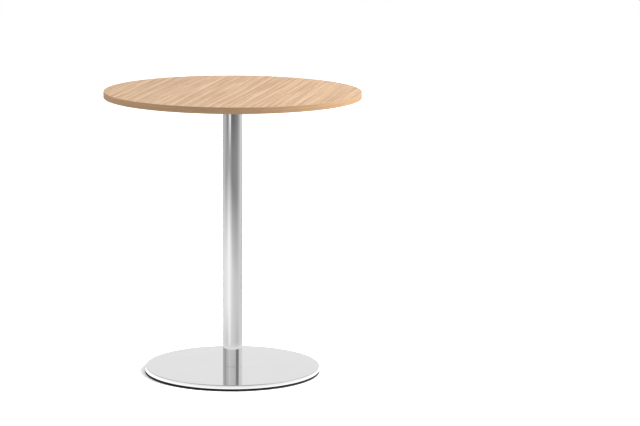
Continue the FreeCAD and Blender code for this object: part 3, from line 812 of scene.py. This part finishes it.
class STANDING_TABLE_OT_stage(bpy.types.Operator):
    """Sets the camera, the pale floor, the room's light and two soft lights"""

    bl_idname = "standing_table.stage"
    bl_label = "Camera, floor and light"

    def execute(self, context):
        studio = context.scene.table_studio
        self.set_camera(context.scene, studio)
        self.lay_floor(studio)
        self.light_room(context.scene, studio)
        self.hang_lamp(context.scene, "right_soft_light", studio.key_place,
                       studio.key_size, studio.key_power)
        self.hang_lamp(context.scene, "left_fill_light", studio.fill_place,
                       studio.fill_size, studio.fill_power)
        context.scene.view_settings.view_transform = "Standard"
        return {"FINISHED"}

    def set_camera(self, scene, studio):
        data = bpy.data.cameras.new("camera")
        data.lens = studio.lens
        data.sensor_width = 36.0
        data.clip_end = 200.0
        camera = bpy.data.objects.new("camera", data)
        scene.collection.objects.link(camera)
        tilt = Matrix.Rotation(math.pi / 2 - studio.camera_pitch, 4, "X")
        lean = Matrix.Rotation(studio.camera_roll, 4, "Z")
        camera.matrix_world = Matrix.Translation(studio.camera_place) @ tilt @ lean
        scene.camera = camera

    def lay_floor(self, studio):
        reach, level = studio.floor_reach, -studio.floor_gap
        floor = new_piece("floor", [(-reach, -reach, level), (reach, -reach, level),
                                    (reach, reach, level), (-reach, reach, level)],
                          faces=[(0, 1, 2, 3)])
        floor.data.materials.append(self.floor_finish(studio))

    def floor_finish(self, studio):
        """White to the camera, with a painted shadow: a dark line painted on the floor under the
        edge of the base.
        In polished metal the floor glows with painted greys of a room, which go by the way round
        the table and by rings of distance, with a painted shadow under the base and a painted
        bright ring beside it."""
        material = bpy.data.materials.new("studio_floor")
        r = blank_recipe(material)
        x, y, _ = r.split(place_of(r))
        around, distance = r.place_around(x, y), r.distance(x, y)
        near = r.ramp(
            around,
            (0.0, 0.34), (0.07, 0.38), (0.13, 0.72), (0.19, 0.94), (0.29, 0.96), (0.37, 1.1),
            (0.41, 1.1), (0.48, 0.86), (0.54, 0.74), (0.65, 0.69), (0.8, 0.76), (0.87, 0.67),
            (0.94, 0.42), (1.0, 0.34))
        middle = r.ramp(
            around,
            (0.0, 0.28), (0.08, 0.3), (0.13, 0.48), (0.19, 0.65), (0.24, 0.44), (0.33, 0.42),
            (0.38, 0.48), (0.43, 0.4), (0.49, 0.28), (0.63, 0.31), (0.7, 0.43), (0.79, 0.76),
            (0.87, 0.7), (0.95, 0.3), (1.0, 0.28))
        far = r.ramp(
            around,
            (0.0, 0.2), (0.07, 0.22), (0.12, 0.4), (0.19, 0.58), (0.26, 0.48), (0.32, 0.25),
            (0.355, 0.26), (0.385, 0.8), (0.41, 1.1), (0.438, 1.1), (0.45, 0.22),
            (0.49, 0.15), (0.56, 0.18), (0.62, 0.24), (0.67, 0.29), (0.72, 0.44), (0.78, 0.7),
            (0.86, 0.84), (0.92, 0.7), (0.96, 0.24), (1.0, 0.2))
        inner = r.ramp(
            around,
            (0.0, 0.5), (0.12, 0.64), (0.19, 0.84), (0.25, 0.78), (0.34, 0.74), (0.4, 1.02),
            (0.48, 0.75), (0.56, 0.72), (0.62, 0.62), (0.7, 0.61), (0.76, 0.78), (0.84, 0.74),
            (0.9, 0.64), (1.0, 0.5))
        # painted shadow under the base and a painted bright ring beside it, seen only in
        # polished metal
        painted_base_shadow_and_glow = r.ramp(
            distance,
            (0.3, 0.3), (0.335, 0.4), (0.35, 1.9), (0.38, 1.45), (0.43, 0.95), (0.5, 0.8))
        lane = r.ramp(     # how much further out the near ring reaches, in metres
            around,
            (0.0, 0.3), (0.13, 0.8), (0.2, 0.8), (0.26, 0.5), (0.37, 1.3), (0.41, 1.15),
            (0.5, 0.3), (0.64, 0.0), (0.72, 0.3), (1.0, 0.3))
        # each ring gives way to the next between these distances from the column
        to_middle, to_far, from_inner, from_base = (
            (1.7, 4.2), (5.7, 7.6), (0.6, 1.3), (0.46, 0.56))
        look = r.mix(r.spread(distance - lane, *to_middle), near, middle)
        look = r.mix(r.spread(distance, *to_far), look, far)
        look = r.mix(r.spread(distance, *from_inner), inner, look)
        look = r.mix(r.spread(distance, *from_base), painted_base_shadow_and_glow, look)

        # painted shadow: the floor is painted dark under the edge of the base, reaching a little
        # further in front, and less white just beside the base; further out it is whiter than
        # white, so that shadows there wash out
        painted_shadow_forward, line, rim, open_floor = 0.011, (0.3405, 0.3455), (0.346, 0.378), (0.4, 0.9)
        base = studio.floor_colour
        white = r.spread(r.distance(x, y + painted_shadow_forward), *line, base * 0.16, base * 1.9)
        white = white + r.spread(distance, *rim, 0.0, base * 0.5)
        white = white + r.spread(distance, *open_floor, 0.0, studio.floor_white - base * 2.4)
        white = r.mix(1.0, white, (0.975, 0.99, 1.0, 1.0), "MULTIPLY")
        surface = r.by_ray(
            soft=r.node("ShaderNodeBsdfDiffuse", {"Color": (base, base, base, 1.0)}),
            mirrored=r.node("ShaderNodeEmission", {"Color": look}),
            camera=r.node("ShaderNodeBsdfDiffuse", {"Color": white}))
        from_below = r.value("ShaderNodeNewGeometry", output="Backfacing")
        surface = r.node("ShaderNodeMixShader", {
            0: from_below, 1: surface, 2: r.node("ShaderNodeBsdfTransparent")})
        r.node("ShaderNodeOutputMaterial", {"Surface": surface})
        return material

    def light_room(self, scene, studio):
        """A white room to the camera, a soft one to the table, and in polished metal one
        with walls, a strip above them, light boxes and a bright ceiling."""
        world = bpy.data.worlds.new("room")
        r = blank_recipe(world)
        x, y, z = r.split(r.value("ShaderNodeTexCoord", output="Generated"))
        around = r.place_around(x, y)
        elevation = r.math("ARCSINE", z) / (math.pi / 2)
        walls = r.ramp(
            around,
            (0.0, 1.0), (0.035, 1.0), (0.07, 0.68), (0.15, 0.6), (0.24, 0.54), (0.285, 0.46),
            (0.3, 0.8), (0.345, 0.74), (0.38, 0.82), (0.4, 1.1), (0.42, 0.84), (0.6, 0.8),
            (0.63, 0.26), (0.71, 0.26), (0.745, 0.94), (0.78, 1.0), (1.0, 1.0))
        upper = r.ramp(
            around,
            (0.0, 0.95), (0.15, 0.6), (0.35, 0.22), (0.6, 0.22), (0.8, 0.75), (1.0, 0.95))
        above = r.ramp(
            around,
            (0.0, 0.9), (0.15, 0.78), (0.18, 0.36), (0.21, 0.36), (0.235, 0.72), (0.31, 0.66),
            (0.34, 0.28), (0.4, 0.28), (0.43, 0.66), (0.53, 0.6), (0.55, 0.26), (0.58, 0.3),
            (0.605, 0.58), (0.67, 0.7), (0.69, 0.42), (0.71, 0.42), (0.73, 0.85),
            (0.79, 0.85), (0.82, 0.4), (0.845, 0.4), (0.87, 0.8), (1.0, 0.9))
        boxes = r.ramp(
            around,
            (0.0, 0.95), (0.15, 0.6), (0.2, 0.9), (0.29, 0.9), (0.34, 0.22), (0.62, 0.22),
            (0.68, 0.3), (0.7, 1.2), (0.8, 1.2), (0.83, 0.75), (1.0, 0.95))
        ceiling = (0.95, 0.95, 0.95, 1.0)
        # each part of the room starts over a span of elevation, where 1 is straight up
        room = sheen = walls
        for part, span in ((upper, (0.18, 0.34)), (ceiling, (0.55, 0.85))):
            room = r.mix(r.spread(elevation, *span), room, part)
        for part, span in ((above, (0.15, 0.19)), (boxes, (0.34, 0.42)),
                           (ceiling, (0.62, 0.78))):
            sheen = r.mix(r.spread(elevation, *span), sheen, part)
        r.node("ShaderNodeOutputWorld", {"Surface": r.by_ray(
            soft=r.node("ShaderNodeBackground", {
                "Color": room, "Strength": studio.room_level}),
            mirrored=r.node("ShaderNodeBackground", {"Color": sheen, "Strength": 1.0}),
            camera=r.node("ShaderNodeBackground", {"Color": (1.0, 1.0, 1.0, 1.0)}))})
        scene.world = world

    def hang_lamp(self, scene, name, place, size, watts):
        """A round soft light, aimed about half way up the table, that neither the camera nor
        polished metal shows."""
        data = bpy.data.lights.new(name, "AREA")
        data.energy = watts
        data.shape = "DISK"
        data.size = size
        lamp = bpy.data.objects.new(name, data)
        scene.collection.objects.link(lamp)
        place, target = Vector(place), Vector((0.0, 0.0, 0.6))
        aim = (target - place).to_track_quat("-Z", "Y")
        lamp.matrix_world = Matrix.Translation(place) @ aim.to_matrix().to_4x4()
        lamp.visible_camera = False
        lamp.visible_glossy = False


class STANDING_TABLE_OT_oak_face(bpy.types.Operator):
    """Lays the oak face veneer, with straight grain all one way"""

    bl_idname = "standing_table.oak_face"
    bl_label = "Oak face veneer"

    def execute(self, context):
        sizes, finish = settings(context)
        foot, top = levels("top_face_veneer")
        radius = sizes.top_radius - sizes.band_thickness
        groove = sizes.glue_line
        oak = oak_finish("oak_face_lacquered", turned_grain(finish.grain_direction),
                         finish.oak_light, finish.oak_middle, finish.oak_dark,
                         streak=14 * MM, contrast=1.0, roughness=finish.lacquer)
        profile = [(0.0, foot), (radius, foot), (radius, top - groove),
                   (radius - groove, top), (0.0, top)]
        veneer = turned_piece("oak_face", profile, oak, sizes.round_steps, radius)
        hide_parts("top_face_veneer")
        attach(veneer, "table")
        return {"FINISHED"}


class STANDING_TABLE_OT_edge_band(bpy.types.Operator):
    """Wraps the oak lipping round the board, with its butt joint at the back"""

    bl_idname = "standing_table.edge_band"
    bl_label = "Oak lipping"

    def execute(self, context):
        sizes, finish = settings(context)
        foot, top = levels("top_edge_band")
        outer = sizes.top_radius
        inner = outer - sizes.band_thickness
        soft, groove = sizes.band_round, sizes.glue_line
        near = soft + BESIDE_BEND
        profile = [(inner + groove, foot), (outer - near, foot),
                   *arc(outer - soft, foot + soft, soft, -90, 0),
                   (outer, foot + near), (outer, top - near),
                   *arc(outer - soft, top - soft, soft, 0, 90),
                   (inner + groove, top), (inner, top - groove), (inner, foot + groove),
                   (inner + groove, foot)]
        middle = [(a + b) / 2 for a, b in zip(finish.edge_light, finish.edge_dark)]
        oak = oak_finish("oak_edge_lacquered", wrapped_grain, finish.edge_light, middle,
                         finish.edge_dark, streak=9 * MM, contrast=0.8,
                         roughness=finish.lacquer)
        band = turned_piece("oak_lipping", profile, oak, sizes.round_steps, outer,
                            start_angle=math.pi / 2)
        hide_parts("top_edge_band")
        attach(band, "table")
        return {"FINISHED"}


class STANDING_TABLE_OT_board(bpy.types.Operator):
    """Finishes the chipboard core, the backing veneer and the threaded inserts"""

    bl_idname = "standing_table.board"
    bl_label = "Board and inserts"

    def execute(self, context):
        _, finish = settings(context)
        finish_nodes(chipboard_finish("chipboard_core", finish.chipboard_light,
                                      finish.chipboard_dark), "top_core")
        light, middle, dark = (
            [channel * factor for channel in oak] for oak, factor in (
                (finish.oak_middle, 0.9), (finish.oak_middle, 0.82), (finish.oak_dark, 0.85)))
        finish_nodes(oak_finish("oak_backing_matt", turned_grain(finish.grain_direction),
                                light, middle, dark, streak=16 * MM, contrast=0.9,
                                roughness=0.6), "top_backing_veneer")
        finish_nodes(grit_finish("insert_zinc", finish.zinc, shade=0.86, grain=0.4 * MM,
                                 patch=6 * MM, roughness=0.3, depth=0.004 * MM,
                                 metallic=1.0), "top_inserts")
        return {"FINISHED"}


class STANDING_TABLE_OT_spider(bpy.types.Operator):
    """Softens the cast spider's edges and gives it a blasted skin"""

    bl_idname = "standing_table.spider"
    bl_label = "Cast spider"

    def execute(self, context):
        sizes, finish = settings(context)
        skin = grit_finish("cast_aluminium_blasted", finish.aluminium, shade=0.9,
                           grain=0.7 * MM, patch=30 * MM, roughness=0.46, depth=0.06 * MM,
                           metallic=1.0)
        one_point, one_face, an_edge = 0.01 * MM, math.radians(0.4), math.radians(28)
        spider = new_piece("cast_spider")
        spider.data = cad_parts["top_spider"].data.copy()
        form = bmesh.new()
        form.from_mesh(spider.data)
        bmesh.ops.remove_doubles(form, verts=form.verts, dist=one_point)
        refine_round_wall(form, sizes.column_radius + sizes.hub_overhang)
        bmesh.ops.dissolve_limit(form, angle_limit=one_face, verts=form.verts,
                                 edges=form.edges)
        form.to_mesh(spider.data)
        form.free()
        soften = spider.modifiers.new("casting_round", "BEVEL")
        soften.width = sizes.casting_round
        soften.segments = 2
        soften.limit_method = "ANGLE"
        soften.angle_limit = an_edge
        spider.modifiers.new("even_shading", "WEIGHTED_NORMAL").keep_sharp = True
        settle(spider, skin)
        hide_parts("top_spider")
        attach(spider, "table")
        return {"FINISHED"}


class STANDING_TABLE_OT_spider_screws(bpy.types.Operator):
    """Drives the button-head screws up through the spider's arms"""

    bl_idname = "standing_table.spider_screws"
    bl_label = "Spider screws"

    def execute(self, context):
        sizes, finish = settings(context)
        zinc = grit_finish("screw_zinc", finish.zinc, shade=0.86, grain=0.3 * MM,
                           patch=4 * MM, roughness=0.28, depth=0.004 * MM, metallic=1.0)
        lowest, highest = levels("spider_screws")
        seat = 1080.0 * MM       # the height at which the heads bear on the arms
        screws = skinned_piece("spider_screw_set", self.head_rings(sizes, seat - lowest))
        add_tree(screws, shared("Screw set", screw_set_tree), {
            "Arms": 4, "Inner circle": sizes.inner_screws,
            "Outer circle": sizes.outer_screws, "Seat": seat, "Shank": highest - seat,
            "Radius": sizes.screw_radius, "Pitch": sizes.screw_pitch, "Bevel": 0.7 * MM,
            "Seed": 4, "Finish": zinc})
        settle(screws, zinc)
        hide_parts("spider_screws")
        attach(screws, "table")
        return {"FINISHED"}

    def head_rings(self, sizes, crown):
        """Rings of a button head that stands on its seat, with a hexagon socket in its crown."""
        count, head, soft = 48, sizes.screw_head, 0.2 * MM
        rim, dome_end = 0.7 * MM, 1.1
        socket, lead_in, socket_depth = 4.0 * MM, 0.3 * MM, 2.0 * MM
        rings = [ring(count, sizes.screw_radius, 0.0), ring(count, head - soft, 0.0),
                 ring(count, head, soft)]
        for angle in (0.0, 0.28, 0.55, 0.82, dome_end):
            rise = (crown - rim) * math.sin(angle) / math.sin(dome_end)
            rings.append(ring(count, head * math.cos(angle), rim + rise))
        return rings + [ring(count, hexagon(socket + lead_in), crown),
                        ring(count, hexagon(socket), crown - soft),
                        ring(count, hexagon(socket), crown - socket_depth)]


class STANDING_TABLE_OT_column(bpy.types.Operator):
    """Stands up the chromed column tube"""

    bl_idname = "standing_table.column"
    bl_label = "Chromed column"

    def execute(self, context):
        sizes, finish = settings(context)
        foot, top = levels("column_tube")
        outer, soft = sizes.column_radius, sizes.column_deburr
        inner = outer - sizes.column_wall
        near = soft + 0.5 * MM
        profile = [(inner + soft, foot), *arc(outer - soft, foot + soft, soft, -90, 0, 4),
                   (outer, foot + near), (outer, top - near),
                   *arc(outer - soft, top - soft, soft, 0, 90, 4),
                   *arc(inner + soft, top - soft, soft, 90, 180, 4),
                   (inner, top - near), (inner, foot + near),
                   *arc(inner + soft, foot + soft, soft, 180, 270, 4)]
        chrome = metal_finish("chrome_plate", finish.chrome, finish.chrome_gloss, haze=0.03,
                              lines=lengthwise_lines)
        tube = turned_piece("chromed_column", profile, chrome, 192, outer)
        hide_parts("column_tube")
        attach(tube, "table")
        return {"FINISHED"}


class STANDING_TABLE_OT_column_fixings(bpy.types.Operator):
    """Makes the tie rod and finishes its nuts, washers and centring piece"""

    bl_idname = "standing_table.column_fixings"
    bl_label = "Tie rod and its fixings"

    def execute(self, context):
        sizes, finish = settings(context)
        zinc = grit_finish("fixing_zinc", finish.zinc, shade=0.84, grain=0.4 * MM,
                           patch=9 * MM, roughness=0.3, depth=0.006 * MM, metallic=1.0)
        foot, top = levels("tie_rod")
        rod = new_piece("threaded_tie_rod")
        add_tree(rod, shared("Threaded rod", threaded_tree), {
            "Foot": foot, "Top": top, "Foot thread": 30 * MM, "Top thread": 40 * MM,
            "Radius": sizes.rod_radius, "Pitch": sizes.rod_pitch, "Bevel": 1.0 * MM,
            "Segments": 48, "Finish": zinc})
        settle(rod, zinc)
        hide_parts("tie_rod")
        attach(rod, "table")
        finish_nodes(zinc, "head_nut", "head_washer", "foot_nut", "foot_washer")
        turned = metal_finish("turned_steel_oiled", finish.turned_steel, 0.24, haze=0.05,
                              lines=circular_lines, depth=0.004 * MM)
        finish_nodes(turned, "column_foot_spigot")
        return {"FINISHED"}


class STANDING_TABLE_OT_base_cover(bpy.types.Operator):
    """Spins the polished cover of the base, with its rim turned down"""

    bl_idname = "standing_table.base_cover"
    bl_label = "Polished base cover"

    def execute(self, context):
        sizes, finish = settings(context)
        foot, top = levels("base_cover")
        outer, sheet, rim = sizes.base_radius, sizes.cover_sheet, sizes.cover_rim
        inner, bend, soft = outer - sheet, rim - sheet, 0.25 * MM
        near = BESIDE_BEND
        profile = [(sizes.cover_hole, top - sheet), (inner - bend - near, top - sheet),
                   *arc(inner - bend, top - sheet - bend, bend, 90, 0),
                   (inner, top - rim - near), (inner, foot + soft + near),
                   *arc(inner + soft, foot + soft, soft, 180, 270, 3),
                   *arc(outer - soft, foot + soft, soft, 270, 360, 3),
                   (outer, foot + soft + near), (outer, top - rim - near),
                   *arc(outer - rim, top - rim, rim, 0, 90, 12),
                   (outer - rim - near, top), (sizes.cover_hole, top),
                   (sizes.cover_hole, top - sheet)]
        steel = metal_finish("steel_polished", finish.steel, finish.steel_gloss, haze=0.02,
                             lines=circular_lines)
        cover = turned_piece("polished_base_cover", profile, steel, sizes.round_steps, outer)
        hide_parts("base_cover")
        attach(cover, "table")
        return {"FINISHED"}


class STANDING_TABLE_OT_base_plate(bpy.types.Operator):
    """Finishes the ballast plate in black powder coat"""

    bl_idname = "standing_table.base_plate"
    bl_label = "Ballast plate"

    def execute(self, context):
        _, finish = settings(context)
        finish_nodes(grit_finish("black_powder_coat", finish.paint, shade=0.95,
                                 grain=0.9 * MM, patch=25 * MM, roughness=0.5,
                                 depth=0.05 * MM), "base_plate")
        return {"FINISHED"}


class STANDING_TABLE_OT_glides(bpy.types.Operator):
    """Makes the four threaded glide studs and finishes their nylon feet"""

    bl_idname = "standing_table.glides"
    bl_label = "Levelling glides"

    def execute(self, context):
        sizes, finish = settings(context)
        zinc = grit_finish("glide_zinc", finish.zinc, shade=0.84, grain=0.35 * MM,
                           patch=5 * MM, roughness=0.3, depth=0.005 * MM, metallic=1.0)
        nylon = grit_finish("glide_nylon_moulded", finish.nylon, shade=0.8, grain=0.25 * MM,
                            patch=8 * MM, roughness=0.55, depth=0.02 * MM)
        thread_foot = 7.4 * MM   # inside the spanner flats
        for number in range(1, 5):
            lowest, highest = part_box(f"glide_stud_{number}")
            middle = (lowest + highest) / 2
            stud = skinned_piece(f"threaded_glide_stud_{number}",
                                 self.foot_rings(lowest.z))
            add_tree(stud, shared("Glide stud", glide_stud_tree), {
                "Place": (middle.x, middle.y, 0.0), "Foot": thread_foot, "Top": highest.z,
                "Radius": sizes.glide_radius, "Pitch": sizes.glide_pitch,
                "Bevel": 0.8 * MM, "Finish": zinc})
            settle(stud, zinc)
            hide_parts(f"glide_stud_{number}")
            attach(stud, f"glide_{number}_stud")
            finish_nodes(nylon, f"glide_pad_{number}")
        return {"FINISHED"}

    def foot_rings(self, foot):
        """Rings of the button in the foot, its neck and the spanner flats."""
        count, button, neck, flats = 48, 6.5 * MM, 5.0 * MM, 13.0 * MM
        button_top, hex_foot, hex_top = 3.85 * MM, 5.3 * MM, 7.7 * MM
        soft, corner, inside_thread = 0.2 * MM, flats / 2 * 0.97, 3.0 * MM
        slope = math.tan(math.radians(30))
        side = hexagon(flats)
        return [
            ring(count, button - soft, foot), ring(count, button, foot + soft),
            ring(count, button, button_top - soft), ring(count, button - soft, button_top),
            ring(count, neck, button_top), ring(count, neck, hex_foot),
            ring(count, corner, hex_foot),
            ring(count, side, lambda angle: hex_foot + (side(angle) - corner) * slope),
            ring(count, side, lambda angle: hex_top - (side(angle) - corner) * slope),
            ring(count, corner, hex_top), ring(count, inside_thread, hex_top),
        ]


# ---------------------------------------------------------------- panel and registration

PIECES = (
    STANDING_TABLE_OT_stage,
    STANDING_TABLE_OT_oak_face,
    STANDING_TABLE_OT_edge_band,
    STANDING_TABLE_OT_board,
    STANDING_TABLE_OT_spider,
    STANDING_TABLE_OT_spider_screws,
    STANDING_TABLE_OT_column,
    STANDING_TABLE_OT_column_fixings,
    STANDING_TABLE_OT_base_cover,
    STANDING_TABLE_OT_base_plate,
    STANDING_TABLE_OT_glides,
)


class STANDING_TABLE_PT_pieces(bpy.types.Panel):
    """Lists the table's pieces and its settings"""

    bl_idname = "STANDING_TABLE_PT_pieces"
    bl_label = "Standing meeting table"
    bl_space_type = "VIEW_3D"
    bl_region_type = "UI"
    bl_category = "Table"

    def draw(self, context):
        scene = context.scene
        for piece in PIECES:
            self.layout.operator(piece.bl_idname)
        for title, group in (("Sizes", scene.table_sizes), ("Finish", scene.table_finish),
                             ("Studio", scene.table_studio)):
            box = self.layout.box()
            box.label(text=title)
            for name in group.__annotations__:
                box.prop(group, name)


CLASSES = (TableSizes, TableFinish, TableStudio, *PIECES, STANDING_TABLE_PT_pieces)


def register():
    for cls in CLASSES:
        bpy.utils.register_class(cls)
    bpy.types.Scene.table_sizes = PointerProperty(type=TableSizes)
    bpy.types.Scene.table_finish = PointerProperty(type=TableFinish)
    bpy.types.Scene.table_studio = PointerProperty(type=TableStudio)


def unregister():
    for name in ("table_studio", "table_finish", "table_sizes"):
        delattr(bpy.types.Scene, name)
    for cls in reversed(CLASSES):
        bpy.utils.unregister_class(cls)


def main():
    """Builds every piece in order."""
    register()
    for piece in PIECES:
        group, name = piece.bl_idname.split(".")
        getattr(getattr(bpy.ops, group), name)()
    bpy.context.view_layer.update()


if __name__ == "__main__":
    main()
